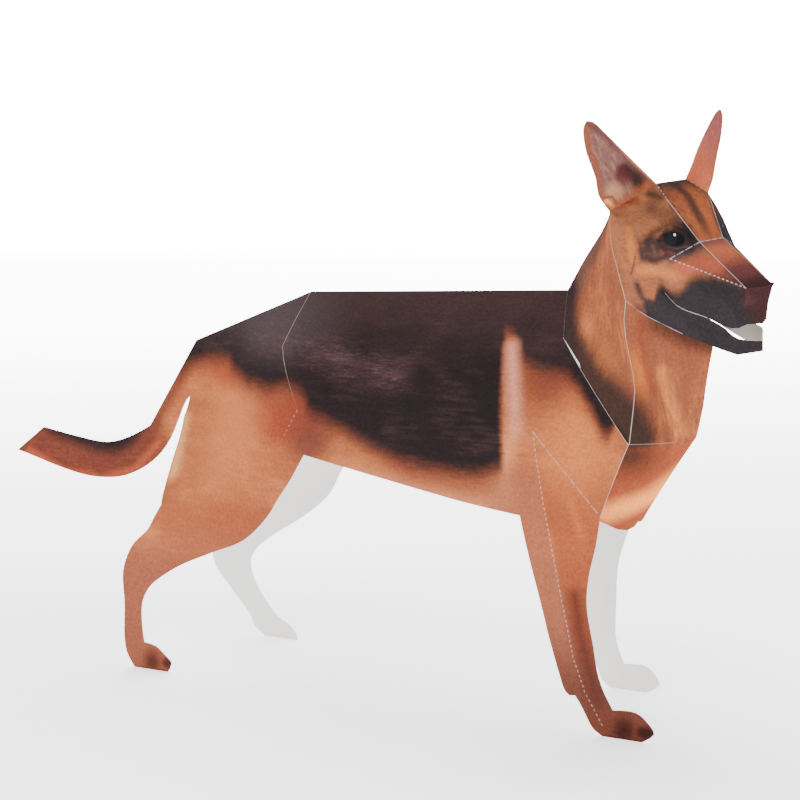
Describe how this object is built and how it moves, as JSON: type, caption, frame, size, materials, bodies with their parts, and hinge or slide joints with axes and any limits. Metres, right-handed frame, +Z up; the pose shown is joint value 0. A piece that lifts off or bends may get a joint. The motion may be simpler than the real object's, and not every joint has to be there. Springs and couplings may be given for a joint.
{
  "type": "folded card dog model",
  "caption": "Standing shepherd dog folded from one printed card sheet, with legs, upswept tail, turned head and raised ears; a paper decoration.",
  "frame": {"origin": "on the ground under the middle of the dog's length and width", "axes": "+X ahead along the body towards the nose, +Z up, +Y to the dog's left side"},
  "size_m": [0.29, 0.0706, 0.1977],
  "materials": {
    "printed_card": "satin print"
  },
  "bodies": {
    "root": {"folded_card_dog": "printed_card"}
  },
  "joints": []
}
